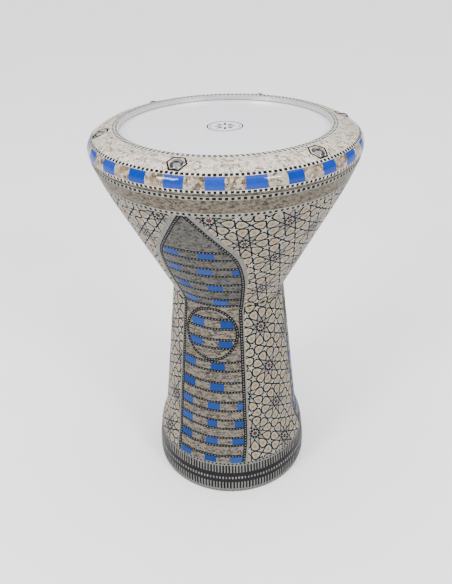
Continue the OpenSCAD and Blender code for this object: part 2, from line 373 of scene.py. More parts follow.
def pearl(name, light, mid, dark, vein, veins, scale, streak=1.0, coat=0.3):
    """Crushed shell set in clear resin: torn flakes, tan and grey veins, a few bright chips."""
    s = Shader(name)
    place = s.stretch((1, 1, streak))
    warped = s.warp(0.006, 170 * scale, place)
    flakes = s.cells(330 * scale, warped)
    small = s.cells(1300 * scale, s.warp(0.002, 500 * scale, place))
    base = s.ramp(flakes, [(0.0, dark), (0.3, mid), (0.7, light), (1.0, light)])
    tones = [(0.0, (0.62, 0.60, 0.58)), (0.5, (0.97, 0.96, 0.94)), (1.0, (1.22, 1.20, 1.16))]
    fine = s.ramp(small, tones)
    base = s.mix(0.8, base, fine, "MULTIPLY")
    torn = s.noise(110 * scale, 7, 0.72, warped)
    base = s.mix(s.gate(torn, 0.52, 0.64, veins), base, vein)
    grey = s.noise(75 * scale, 6, 0.7, s.warp(0.01, 90 * scale, place))
    cool = tuple(0.8 * sum(mid) / 3 for _ in range(3))
    base = s.mix(s.gate(grey, 0.53, 0.66, 0.5), base, cool)
    dark_torn = s.noise(190 * scale, 6, 0.75, warped)
    base = s.mix(s.gate(dark_torn, 0.60, 0.70, 0.55), base, dark)
    chips = s.cells(1500)
    base = s.mix(s.gate(chips, 0.95, 0.97, 0.55), base, tuple(min(1, 1.5 * c) for c in light))
    s.color(base)
    s.rough(s.spread(small, 0.28, 0.5))
    s.bump(s.noise(900 * scale, 2), 0.05, 0.0002)
    s.gloss_coat(coat)
    return s.material


def plain_inlay(name, color, variation, island=True, coat=0.3):
    """Cut tiles and strips: one colour that varies from tile to tile and a little across each."""
    s = Shader(name)
    lighter = tuple(min(1, c * (1 + variation) + 0.01) for c in color)
    darker = tuple(c * (1 - variation) for c in color)
    source = s.island() if island else s.cells(300)
    base = s.ramp(source, [(0.0, darker), (1.0, lighter)])
    cloud = s.ramp(s.noise(320, 5, 0.65), [(0.3, (0.86, 0.86, 0.86)), (0.7, (1.1, 1.1, 1.1))])
    base = s.mix(0.8, base, cloud, "MULTIPLY")
    s.color(base)
    s.rough(s.spread(s.noise(500, 2), 0.27, 0.45))
    s.bump(s.noise(1200, 2), 0.04, 0.0001)
    s.gloss_coat(coat)
    return s.material


def petal_inlay(name, edge, mid, heart):
    """Pearl petals, pale at the edge and tan at the heart, no two the same."""
    s = Shader(name)
    torn = s.noise(420, 4, 0.65)
    reach = s.mix(0.42, s.core(), torn)
    base = s.ramp(reach, [(0.2, edge), (0.5, mid), (0.78, heart)])
    warped = s.warp(0.003, 300)
    shade = s.ramp(s.cells(800, warped), [(0.0, (0.78, 0.78, 0.78)), (1.0, (1.12, 1.1, 1.08))])
    base = s.mix(0.8, base, shade, "MULTIPLY")
    tint = s.ramp(s.island(), [
        (0.0, (1.0, 0.93, 0.82)), (0.3, (1.0, 1.0, 1.0)), (0.55, (0.92, 0.95, 0.92)),
        (0.75, (1.05, 0.97, 0.95)), (1.0, (0.98, 0.95, 0.88)),
    ])
    base = s.mix(0.9, base, tint, "MULTIPLY")
    s.color(base)
    s.rough(s.spread(torn, 0.3, 0.5))
    s.bump(s.noise(900, 2), 0.05, 0.0002)
    s.gloss_coat()
    return s.material


def black_resin(name, color=(0.0035, 0.0035, 0.0045), coat=0.15):
    s = Shader(name)
    dust = s.ramp(s.noise(600, 4, 0.7), [(0.35, color), (0.8, tuple(c * 2.4 + 0.002 for c in color))])
    s.color(dust)
    s.rough(s.spread(s.noise(240, 3), 0.25, 0.42))
    s.bump(s.noise(700, 2), 0.03, 0.0001)
    s.gloss_coat(coat)
    return s.material


def metal(name, color, rough_low, rough_high, grain, bump, cast=False):
    s = Shader(name)
    s.set(Metallic=1.0)
    tone = s.noise(grain, 5, 0.65)
    base = s.ramp(tone, [(0.25, tuple(c * 0.8 for c in color)), (0.75, tuple(c * 1.06 for c in color))])
    if cast:
        stain = s.ramp(s.noise(30, 4), [(0.45, (1, 1, 1)), (0.8, (0.7, 0.69, 0.67))])
        base = s.mix(0.8, base, stain, "MULTIPLY")
    s.color(base)
    s.rough(s.spread(s.noise(grain * 2, 3), rough_low, rough_high))
    s.bump(s.noise(grain * 3, 3), bump, 0.0003)
    return s.material


def film_material(name, color):
    s = Shader(name)
    cloud = s.noise(14, 3, 0.5)
    base = s.ramp(cloud, [(0.3, tuple(c * 0.985 for c in color)), (0.75, color)])
    s.color(base)
    s.rough(s.spread(s.noise(160, 4), 0.2, 0.3))
    s.bump(s.noise(2200, 2), 0.02, 0.00005)
    s.set(Coat_Weight=0.25, Coat_Roughness=0.12)
    return s.material


# ------ pointed panels
PANEL_FIRST = -18.2
PANEL_TOP = 389.4
TILE_TURN = -0.4
FRAME_W = 3.4
# Side of a panel as seen from its front: LOW_SIDE is (height, x), ARCH is (x, height)
LOW_SIDE = [(46.5, 43.4), (56.2, 43.5), (66.2, 43.3)]
ARCH = [(35.4, 258.8), (37.4, 268.3), (39.8, 280.2), (41.8, 291.3), (43, 304), (43, 317.4), (41.5, 330),
        (37.5, 340.3), (31.7, 350), (24.8, 360.3), (18.3, 370), (11.5, 380.2)]
ARCH_TOP = 396.4
INNER_TOP = 388.4
PANEL_HALF = math.radians(31.2)
STEM_SIDE = [(z, shell_r(z) * math.sin(PANEL_HALF)) for z in range(80, 252, 6)]
SIDE = LOW_SIDE + STEM_SIDE + [(z, x) for x, z in ARCH]


def inset_side():
    """The side moved inwards by the width of the chain border."""
    inner = []
    for i, (z, x) in enumerate(SIDE):
        z0, x0 = SIDE[max(i - 1, 0)]
        z1, x1 = SIDE[min(i + 1, len(SIDE) - 1)]
        size = math.hypot(x1 - x0, z1 - z0)
        inner.append((z + FRAME_W * (x1 - x0) / size, x - FRAME_W * (z1 - z0) / size))
    inner[0] = (46.5, inner[0][1])
    return inner


INNER = inset_side()
OUTER_TABLE = SIDE + [(ARCH_TOP, 0)]
INNER_TABLE = INNER + [(INNER_TOP, 0)]
# Width of the plain strip outside the border, by height
PLAIN_TABLE = [(46, 2.6), (200, 1.6), (262, 1.2), (285, 2.4), (310, 4.2), (335, 5.6), (390, 6.0)]
CHAIN_H = 2.8
# The oval in the middle of a panel: centre height, half width, half height, width of its strip
MEDAL_Z, MEDAL_W, MEDAL_H, MEDAL_STRIP = 218.2, 31.0, 33.6, 3.2
# Strips of a panel: heights of the two chain lines, and blue tiles in degrees from its middle
STRIPS = [
    (341.7, 330.7, [(-18.1, -8.9), (2.3, 11.3)]),
    (317.3, 306, [(-22.7, -13.1), (-1.1, 8.6), (20.9, 29)]),
    (291.3, 280, [(-23.9, -12.2), (2.3, 14.1)]),
    (266, 255, [(-25.9, -12.7), (3.9, 17.4)]),
    (183.3, 171.7, [(-29, -14.7), (0.6, 13.6)]),
    (156, 143.3, [(-29, -14.7), (-0.1, 12.6)]),
    (129.3, 117.3, [(-29, -16.4), (-2.2, 8.9), (23.9, 29)]),
    (104.3, 92.3, [(-29, -16.9), (-2.2, 6.6), (21.4, 29)]),
    (79, 68.3, [(-29, -16.4), (-3.4, 6.9), (19.1, 29)]),
    (55.7, 45.1, [(-25.1, -15.1), (-3.1, 6.4), (17.3, 29)]),
]
MEDAL_STRIPS = [
    (237.7, 225.7, [(-19.7, -6.1), (10.3, 22.8)]),
    (212.3, 201.3, [(-21.7, -7.7), (8.6, 21.3)]),
]


def half_angle(x, z):
    return math.degrees(math.asin(min(0.99, x / shell_r(z))))


def lancet_limit(z):
    """Half angle of the space inside the chain border at height z."""
    return half_angle(along(INNER_TABLE, z), z)


def lancet_outer(z):
    if z >= ARCH_TOP:
        return 0.0
    return half_angle(along(OUTER_TABLE, z), z)


def star_limit(z):
    """Half angle where the star pattern starts, past the plain strip beside the border."""
    return half_angle(along(OUTER_TABLE, min(z, ARCH_TOP)) + along(PLAIN_TABLE, z), z)


def medal_limit(z):
    share = 1 - ((z - MEDAL_Z) / (MEDAL_H - MEDAL_STRIP)) ** 2
    return az_of((MEDAL_W - MEDAL_STRIP) * math.sqrt(max(0, share)), z)


def az_of(x, z):
    """Angle of a point of the shell that lies x to the side of a panel's middle plane."""
    return math.degrees(math.asin(x / shell_r(z)))


def degrees_per_mm(z, x=0.0):
    """Turn around the axis for one millimetre seen from the panel's front."""
    return math.degrees(1 / shell_r(z)) / math.cos(math.asin(x / shell_r(z)))


def strip_patch(target, middle, a0, a1, z0, z1, limit):
    """A tile between two angles and two heights, kept inside a limit that depends on height."""
    rows = []
    steps_v = max(1, round((z1 - z0) / 2.5))
    steps_u = max(1, round((a1 - a0) / 2.0))
    for j in range(steps_v + 1):
        z = z0 + (z1 - z0) * j / steps_v
        edge = limit(z)
        left, right = max(a0, -edge), min(a1, edge)
        if right - left < 0.05:
            right = left + 0.05
        rows.append([(middle + left + (right - left) * i / steps_u, z) for i in range(steps_u + 1)])
    target.patch(rows)


def dash(target, u, v, length, width, angle, per_u):
    """One six-sided bead: length along angle, in mm; per_u is degrees per mm across."""
    shape = [(-0.5, 0), (-0.32, -0.5), (0.32, -0.5), (0.5, 0), (0.32, 0.5), (-0.32, 0.5)]
    c, s = math.cos(angle), math.sin(angle)
    outline = []
    for a, b in shape:
        x, y = a * length, b * width
        outline.append((u + (x * c - y * s) * per_u, v + x * s + y * c))
    target.polygon(outline, centre=False)


def chain_line(black, white, middle, z, limit):
    edge = limit(z) + 0.2
    half = CHAIN_H / 2
    strip_patch(black, middle, -edge, edge, z - half, z + half, lambda q: limit(q) + 0.2)
    per_mm = degrees_per_mm(z)
    count = max(3, round(2 * edge / per_mm / 3.6))
    for k in range(count):
        az = -edge + 2 * edge * (k + 0.5) / count
        tilt = rng.uniform(-0.05, 0.05)
        dash(white, middle + az, z + rng.uniform(-0.1, 0.1), 1.7, 0.8, tilt, per_mm)


def path_points(points, step):
    """Points every step along a polyline, each with its direction."""
    out, carried = [], step / 2
    for (x0, y0), (x1, y1) in zip(points, points[1:]):
        size = math.hypot(x1 - x0, y1 - y0)
        while carried < size:
            f = carried / size
            out.append((x0 + (x1 - x0) * f, y0 + (y1 - y0) * f, math.atan2(y1 - y0, x1 - x0)))
            carried += step
        carried -= size
    return out


def side_strip(target, middle, inner, outer, heights):
    """A strip between two outlines, given as functions of height, on both sides of a panel."""
    for sign in (1, -1):
        rows = []
        for z in heights:
            near, far = inner(z), outer(z)
            row = [(middle + sign * az_of(near + (far - near) * g, z), z) for g in (0, 0.5, 1)]
            rows.append(row[::sign])
        target.patch(rows)


def panel_outer(z):
    return along(OUTER_TABLE, z)


def panel_inner(z):
    return along(INNER_TABLE, z) if z < INNER_TOP else 0.0


def border(black, white, plain, middle):
    heights = [46.6 + 342.8 * k / 170 for k in range(171)]
    side_strip(plain, middle, panel_outer, lambda z: panel_outer(z) + along(PLAIN_TABLE, z), heights)
    side_strip(black, middle, panel_inner, panel_outer, heights)
    mid = [((panel_inner(z) + panel_outer(z)) / 2, z) for z in heights]
    for sign in (1, -1):
        for x, z, angle in path_points(mid, 3.3):
            direction = angle if sign > 0 else math.pi - angle
            dash(white, middle + sign * az_of(x, z), z, 1.35, 1.05, direction, degrees_per_mm(z, x))


def oval_point(middle, a, inset):
    """Angle and height of a point of the oval, and the turn for a millimetre there."""
    x = (MEDAL_W - inset) * math.cos(a)
    z = MEDAL_Z + (MEDAL_H - inset) * math.sin(a)
    return middle + az_of(x, z), z, degrees_per_mm(z, x)


def medallion(black, white, middle):
    turns = [2 * math.pi * k / 96 for k in range(96)]
    rim = [(oval_point(middle, a, MEDAL_STRIP)[:2], oval_point(middle, a, 0)[:2]) for a in turns]
    ring_of_pairs(black, rim)
    for k in range(56):
        a = 2 * math.pi * (k + 0.5) / 56
        az, z, per_mm = oval_point(middle, a, MEDAL_STRIP / 2)
        dash(white, az, z, 1.5, 0.85, a + math.pi / 2, per_mm)


def ring_of_pairs(target, pairs):
    """A closed band from pairs of points, the inner one first."""
    ti = [target.add(*pair[0], target.high, 0.5) for pair in pairs]
    to = [target.add(*pair[1], target.high, 0.5) for pair in pairs]
    bi = [target.add(*pair[0], target.low) for pair in pairs]
    bo = [target.add(*pair[1], target.low) for pair in pairs]
    for k in range(len(pairs)):
        m = (k + 1) % len(pairs)
        target.face([ti[k], to[k], to[m], ti[m]], True)
        target.wall(bi[k], bi[m], bo[m], bo[k])
        target.wall(to[k], bo[k], bo[m], to[m])
        target.wall(ti[m], bi[m], bi[k], ti[k])


# ------ ten-fold star pattern
# Side of the tiles, and the distance between neighbouring ten-sided tiles
EDGE = 11.07
GOLDEN = 1.618
LONG = 4.236 * EDGE
STEP_X, STEP_Y = LONG * math.cos(math.radians(36)), LONG * math.sin(math.radians(36))
# Distance from a ten-sided tile's centre to that of a five-sided one, and the latter's radius
FIVE_AWAY = 2.2270 * EDGE
FIVE_RADIUS = 0.8507 * EDGE
# Corners of the bow-tie tile, in sides
BOW_TIE = ((0.809, 0), (0.5, 0.951), (-0.5, 0.951), (-0.809, 0), (-0.5, -0.951), (0.5, -0.951))


def meet(p, a, q, b):
    """Where the line from p at angle a meets the line from q at angle b."""
    det = math.cos(a) * math.sin(b) - math.sin(a) * math.cos(b)
    t = ((q[0] - p[0]) * math.sin(b) - (q[1] - p[1]) * math.cos(b)) / det
    return p[0] + t * math.cos(a), p[1] + t * math.sin(a)


def turned(points, angle, centre=(0, 0)):
    """Points turned about the origin and then moved to a centre."""
    c, s = math.cos(angle), math.sin(angle)
    return [(centre[0] + x * c - y * s, centre[1] + x * s + y * c) for x, y in points]


def ngon_at(centre, count, radius, turn):
    return [(centre[0] + radius * math.cos(turn + 2 * math.pi * k / count),
             centre[1] + radius * math.sin(turn + 2 * math.pi * k / count)) for k in range(count)]


def tile_marks(corners):
    """Middles of a tile's sides, and where the star lines cross beside each corner."""
    n = len(corners)
    mids, crossings = [], []
    for k in range(n):
        (ax, ay), (bx, by) = corners[k], corners[(k + 1) % n]
        mids.append(((ax + bx) / 2, (ay + by) / 2, math.atan2(by - ay, bx - ax)))
    lean = math.radians(72)
    for k in range(n):
        before, after = mids[k - 1], mids[k]
        crossings.append(meet(before[:2], before[2] + lean, after[:2], after[2] + math.pi - lean))
    return [m[:2] for m in mids], crossings


def cut(polygon, point, angle):
    """The part of a polygon to the left of a line."""
    nx, ny = -math.sin(angle), math.cos(angle)
    side = [(p[0] - point[0]) * nx + (p[1] - point[1]) * ny for p in polygon]
    out = []
    for k, p in enumerate(polygon):
        q, sp, sq = polygon[(k + 1) % len(polygon)], side[k], side[(k + 1) % len(polygon)]
        if sp >= 0:
            out.append(p)
        if (sp >= 0) != (sq >= 0):
            f = sp / (sp - sq)
            out.append((p[0] + (q[0] - p[0]) * f, p[1] + (q[1] - p[1]) * f))
    return out


def area(polygon):
    return 0.5 * sum(p[0] * q[1] - q[0] * p[1] for p, q in zip(polygon, polygon[1:] + polygon[:1]))


def middle_of(polygon):
    return sum(p[0] for p in polygon) / len(polygon), sum(p[1] for p in polygon) / len(polygon)


def shrink(polygon, gap):
    """Moves every side inwards by gap."""
    n, out, lines = len(polygon), [], []
    for k in range(n):
        p, q = polygon[k], polygon[(k + 1) % n]
        a = math.atan2(q[1] - p[1], q[0] - p[0])
        lines.append(((p[0] - gap * math.sin(a), p[1] + gap * math.cos(a)), a))
    for k in range(n):
        (p, a), (q, b) = lines[k - 1], lines[k]
        if abs(math.sin(a - b)) < 0.02:
            out.append(q)
        else:
            out.append(meet(p, a, q, b))
    return out


def soften(polygon, share=0.22):
    """Cuts each corner off, so that the plate looks filed rather than sharp."""
    out = []
    n = len(polygon)
    for k in range(n):
        p, c, q = polygon[k - 1], polygon[k], polygon[(k + 1) % n]
        out.append((c[0] + (p[0] - c[0]) * share, c[1] + (p[1] - c[1]) * share))
        out.append((c[0] + (q[0] - c[0]) * share, c[1] + (q[1] - c[1]) * share))
    return out


def star_sheet(half_w, low, high, origin, turn, wide=1.0):
    """Flat pattern as lists of shapes by kind. Positions in mm, y upwards."""
    def place(shape):
        return turned([(x * wide, y) for x, y in shape], turn, origin)

    reach = 60
    centres = []
    for i in range(-16, 17):
        for j in range(-16, 17):
            c = (STEP_X * (i + j), STEP_Y * (i - j))
            x, y = place([c])[0]
            if abs(x) < half_w + reach and low - reach < y < high + reach:
                centres.append(c)
    kinds = {"petal": [], "star": [], "chip": [], "spark": [], "heart": []}
    around, seen = {}, set()

    def nearby(key, table):
        """The key itself or one beside it that is in the table already, or None."""
        for a in (-1, 0, 1):
            for b in (-1, 0, 1):
                if (key[0] + a, key[1] + b) in table:
                    return key[0] + a, key[1] + b

    def take(corners):
        """Marks one tile and notes its marks at its corners, where tiles meet and petals form."""
        mids, crossings = tile_marks(corners)
        for k, corner in enumerate(corners):
            key = (round(corner[0] * 2), round(corner[1] * 2))
            entry = around.setdefault(nearby(key, around) or key, (corner, []))
            entry[1].extend([crossings[k], mids[k], mids[k - 1]])
        return mids, crossings

    for c in centres:
        ten = ngon_at(c, 10, GOLDEN * EDGE, 0)
        mids, crossings = take(ten)
        cells = [ten]
        for k in range(10):
            a, b = mids[k], mids[(k + 4) % 10]
            angle = math.atan2(b[1] - a[1], b[0] - a[0])
            split = []
            for cell in cells:
                for part in (cut(cell, a, angle), cut(cell, a, angle + math.pi)):
                    if len(part) > 2 and area(part) > 0.05:
                        split.append(part)
            cells = split
        for cell in cells:
            x, y = middle_of(cell)
            out = math.hypot(x - c[0], y - c[1])
            if out < 2 or any(math.hypot(p[0] - v[0], p[1] - v[1]) < 0.5 for p in cell for v in ten):
                continue
            if area(cell) > 2.2:
                kinds["chip"].append(shrink(cell, 0.5))
        kite = [(2.1, 0), (3.4, -0.75), (4.9, 0), (3.4, 0.75)]
        for k in range(10):
            kinds["spark"].append(turned(kite, math.radians(36 * k), c))
        kinds["heart"].append(ngon_at(c, 10, 1.75, 0.1))
        for k in range(10):
            a = math.radians(18 + 36 * k)
            if k in (2, 7):
                continue
            five = (c[0] + FIVE_AWAY * math.cos(a), c[1] + FIVE_AWAY * math.sin(a))
            key = (round(five[0]), round(five[1]))
            if nearby(key, seen):
                continue
            seen.add(key)
            corners = ngon_at(five, 5, FIVE_RADIUS, a + math.pi + math.radians(36))
            mids, crossings = take(corners)
            star = []
            for m in range(5):
                star += [mids[m], crossings[(m + 1) % 5]]
            kinds["star"].append(star)
        six_c = (c[0], c[1] + STEP_Y)
        six = [(six_c[0] + x * EDGE, six_c[1] + y * EDGE) for x, y in BOW_TIE]
        mids, crossings = take(six)
        kinds["star"].append([six_c, mids[0], crossings[1], mids[1], crossings[2], mids[2]])
        kinds["star"].append([six_c, mids[3], crossings[4], mids[4], crossings[5], mids[5]])
    for corner, found in around.values():
        points = []
        for p in found:
            if not any(math.hypot(p[0] - q[0], p[1] - q[1]) < 0.6 for q in points):
                points.append(p)
        if len(points) != 6:
            continue
        points.sort(key=lambda p: math.atan2(p[1] - corner[1], p[0] - corner[0]))
        kinds["petal"].append(points)
    placed = {}
    for kind, shapes in kinds.items():
        placed[kind] = []
        for shape in shapes:
            moved = place(shape)
            x, y = middle_of(moved)
            if abs(x) < half_w + 8 and low - 8 < y < high + 8:
                placed[kind].append(moved)
    return placed


HALF_CONE = math.radians(27.05)
APEX_Z = 262 - 68 / math.tan(HALF_CONE)


def cone_map(point):
    """Flat sheet to (angle, height) on the cone; y is the distance from the cone's tip."""
    x, y = point
    dist = math.hypot(x, y)
    return math.degrees(math.atan2(x, y)) / math.sin(HALF_CONE), APEX_Z + dist * math.cos(HALF_CONE)


def stem_map(point):
    x, z = point
    return math.degrees(x / shell_r(z)), z


def star_panel(groups, middle, column_az, column_at, stem_origin, stem_turn):
    """Lays the pattern on one panel, cut at the borders of the pointed panels beside it.

    On the cone a column of rosettes runs down the generator column_az from the panel's middle."""
    split_z = 252.0
    lean = math.radians(column_az) * math.sin(HALF_CONE)
    origin = (column_at * math.sin(lean), column_at * math.cos(lean))
    cone = star_sheet(142, 130, 305, origin, -lean, 1.04)
    stem = star_sheet(46, 40, 262, stem_origin, stem_turn)
    for sheet, mapping, low, high in ((cone, cone_map, split_z + 0.25, PANEL_TOP),
                                      (stem, stem_map, 46.7, split_z - 0.25)):
        for kind, shapes in sheet.items():
            for shape in shapes:
                if kind == "petal":
                    shape = soften(shrink(shape, 0.84), 0.2)
                elif kind == "star":
                    shape = shrink(shape, 0.78)
                if area(shape) < 0.6:
                    continue
                spot = [mapping(p) for p in shape]
                u, v = middle_of(spot)
                if v < low - 6 or v > high + 6 or abs(u) > 64:
                    continue
                v_here = min(max(v, low), high)
                edge = 60 - star_limit(v_here) + 0.25
                slope = (star_limit(v_here - 1) - star_limit(v_here + 1)) / 2
                for point, angle in (((0, low), 0.0), ((0, high), math.pi),
                                     ((edge, v_here), math.atan2(1, slope)),
                                     ((-edge, v_here), math.atan2(-1, slope))):
                    if len(spot) > 2:
                        spot = cut(spot, point, angle)
                if len(spot) < 3 or area([(p[0] * 1.5, p[1]) for p in spot]) < 0.3:
                    continue
                groups[kind].polygon([(middle + p[0], p[1]) for p in spot])


# ------ building the drum
def dots_row(target, count, v, width, height, per_radius, first=0.0, bend=None):
    """A row of black dots; bend is a height where the surface turns and the plates fold."""
    for k in range(count):
        az = first + 360 * k / count + rng.uniform(-0.06, 0.06)
        w = width * rng.uniform(0.9, 1.08) / per_radius * 180 / math.pi
        h = height * rng.uniform(0.9, 1.08)
        y = v + rng.uniform(-0.12, 0.12)
        lean = rng.uniform(-0.05, 0.05)
        low = [(az - w / 2, y - h / 2 - lean), (az + w / 2, y - h / 2 + lean)]
        high = [(az - w / 2, y + h / 2 - lean), (az + w / 2, y + h / 2 + lean)]
        if bend is None:
            target.polygon(low + high[::-1], centre=False)
        else:
            target.patch([low, [(az - w / 2, bend), (az + w / 2, bend)], high])


class RingPieces(Pieces):
    """On the ring v runs from the mouth outwards and down, so outlines are turned over."""

    def polygon(self, outline, centre=True):
        super().polygon(outline[::-1], centre)

    def patch(self, rows):
        super().patch(rows[::-1])


def shell_band(z0, z1, depth=1.1, proud=0.0):
    """Outline of a layer of the shell between two heights."""
    marks = sorted(set([m[0] for m in OUTSIDE] + list(range(0, 440, 2))))
    heights = [z0] + [m for m in marks if z0 + 0.05 < m < z1 - 0.05] + [z1]
    outer = [(shell_r(h) + proud, h) for h in heights]
    return outer + [(shell_r(h) - depth, h) for h in reversed(heights)]


def ring_band(t0, t1):
    """Outline of a layer 1 mm deep on the ring, between two distances from the mouth."""
    n = max(2, round(t1 - t0))
    stops = [t0 + (t1 - t0) * k / n for k in range(n + 1)]
    outer, inner = [], []
    for t in stops:
        r, z, angle = ring_profile(t)
        outer.append((r, z))
        inner.append((r - math.cos(angle), z - math.sin(angle)))
    return (outer + inner[::-1])[::-1]


def cut_bolt_holes(piece):
    """Opens the six bolt recesses through a turned layer."""
    mesh = bpy.data.meshes.new("bolt_hole_tool")
    bm = bmesh.new()
    for k in range(6):
        a = math.radians(FIRST_BOLT + 60 * k)
        middle = Vector((BOLT_CIRCLE * math.sin(a), -BOLT_CIRCLE * math.cos(a), 436))
        spot = Matrix.Translation(middle * MM)
        bmesh.ops.create_cone(bm, cap_ends=True, segments=48, radius1=RECESS_R * MM,
                              radius2=RECESS_R * MM, depth=30 * MM, matrix=spot)
    bm.to_mesh(mesh)
    bm.free()
    tool = add_object("bolt_hole_tool", mesh)
    modifier = piece.modifiers.new("holes", "BOOLEAN")
    modifier.object = tool
    modifier.operation = "DIFFERENCE"
    modifier.solver = "EXACT"
    graph = bpy.context.evaluated_depsgraph_get()
    result = bpy.data.meshes.new_from_object(piece.evaluated_get(graph))
    piece.modifiers.clear()
    piece.data = result
    piece.data.shade_smooth()
    piece.data.set_sharp_from_angle(angle=math.radians(25))
    bpy.data.objects.remove(tool)


def hexagon(target, middle, outer, inner):
    """Black hexagon strip around a bolt, a little flattened, laid on the ring's top."""
    a = math.radians(middle)
    centre = (BOLT_CIRCLE * math.sin(a), -BOLT_CIRCLE * math.cos(a))
    rims = []
    for radius in (inner, outer):
        corners = ngon_at((0, 0), 6, radius, 0)
        rim = []
        for p, q in zip(corners, corners[1:] + corners[:1]):
            for j in range(6):
                x, y = (p[i] + (q[i] - p[i]) * j / 6 for i in (0, 1))
                rim.append((x, 0.93 * y + 0.5))
        rims.append(turned(rim, a, centre))
    ring_of_pairs(target, list(zip(*rims)))


def top_point(x, y, h=0.0):
    """Point on the ring's top over a plan position in mm."""
    r = math.hypot(x, y)
    z = ring_top_z(r)
    nr, nz = (r - 113) / 40, (z - 400) / 40
    outward = Vector((nr * x / r, nr * y / r, nz))
    return Vector((x + h * outward[0], y + h * outward[1], z + h * nz)) * MM, outward


class Materials:
    pass


def make_materials():
    m = Materials()
    m.top = pearl("pearl_ring_top", (0.57, 0.53, 0.47), (0.39, 0.345, 0.28), (0.13, 0.098, 0.07),
                  (0.33, 0.215, 0.125), 0.55, 1.1, coat=0.8)
    m.band = pearl("pearl_ring_band", (0.38, 0.335, 0.27), (0.17, 0.128, 0.088), (0.05, 0.033, 0.02),
                   (0.22, 0.125, 0.06), 0.6, 0.85, coat=0.8)
    m.collar = pearl("pearl_collar", (0.138, 0.12, 0.092), (0.076, 0.064, 0.047), (0.026, 0.021, 0.015),
                     (0.135, 0.085, 0.045), 0.5, 1.2, 1.5)
    m.panel = pearl("pearl_panel", (0.155, 0.142, 0.121), (0.076, 0.067, 0.054), (0.024, 0.019, 0.014),
                    (0.12, 0.068, 0.034), 0.65, 1.0, 2.0)
    m.arch = pearl("pearl_arch", (0.084, 0.082, 0.076), (0.049, 0.047, 0.043), (0.019, 0.018, 0.015),
                   (0.08, 0.055, 0.035), 0.35, 1.0, 1.6)
    m.edging = plain_inlay("pearl_edging", (0.135, 0.128, 0.115), 0.08, False)
    m.cream = plain_inlay("cream_strip", (0.50, 0.48, 0.43), 0.05, False, 0.6)
    # The shell's cream strips under the ring are the ring's cream made darker: painted shade from the
    # ring's overhang.
    m.cream_low = plain_inlay("cream_shell_painted_shade", (0.23, 0.22, 0.19), 0.06, False)
    # The foot's cream is the ring's cream made much darker: painted shade for the low foot, whose
    # stripes sit in shade.
    m.cream_foot = plain_inlay("cream_foot", (0.135, 0.132, 0.122), 0.06, False)
    m.white = plain_inlay("bead_white", (0.16, 0.155, 0.14), 0.2)
    m.blue = plain_inlay("blue_ring", (0.0015, 0.032, 0.26), 0.10, True, 0.55)
    # The panels' blue tiles are the ring's blue made darker: painted shade on the shell's sides.
    m.blue_low = plain_inlay("blue_panel_painted_shade", (0.003, 0.03, 0.155), 0.18)
    m.black = black_resin("black_inlay")
    m.groove = black_resin("black_groove", (0.003, 0.003, 0.004), 0.4)
    m.star_black = black_resin("black_star_lines", (0.003, 0.003, 0.004), 0.12)
    m.petal = petal_inlay("pearl_petals", (0.29, 0.275, 0.235), (0.235, 0.195, 0.14),
                          (0.16, 0.10, 0.05))
    m.star = plain_inlay("pearl_stars", (0.25, 0.24, 0.21), 0.16)
    m.chip = plain_inlay("pearl_chips", (0.17, 0.16, 0.145), 0.18)
    m.spark = plain_inlay("pearl_sparks", (0.30, 0.29, 0.265), 0.10)
    m.heart = plain_inlay("rosette_hearts", (0.07, 0.016, 0.010), 0.35)
    m.cast = metal("cast_aluminium", (0.60, 0.60, 0.61), 0.38, 0.6, 160, 0.25, True)
    m.machined = metal("machined_aluminium", (0.70, 0.70, 0.71), 0.25, 0.4, 220, 0.08)
    # The bolts' steel is far darker than real polished steel, so the domes read dark: a painted dark
    # reflection in place of dark surroundings.
    m.steel = metal("polished_steel", (0.20, 0.20, 0.21), 0.12, 0.22, 260, 0.03)
    m.washer = metal("washer_steel", (0.62, 0.62, 0.64), 0.22, 0.38, 300, 0.06)
    m.brass = metal("brass", (0.78, 0.58, 0.24), 0.25, 0.4, 240, 0.06)
    m.film = film_material("drum_film", (0.80, 0.805, 0.84))
    m.print = black_resin("printed_mark", (0.012, 0.012, 0.03))
    return m


def give(node, material):
    """Puts a better material on a CAD node."""
    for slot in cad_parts[node].material_slots:
        slot.material = material


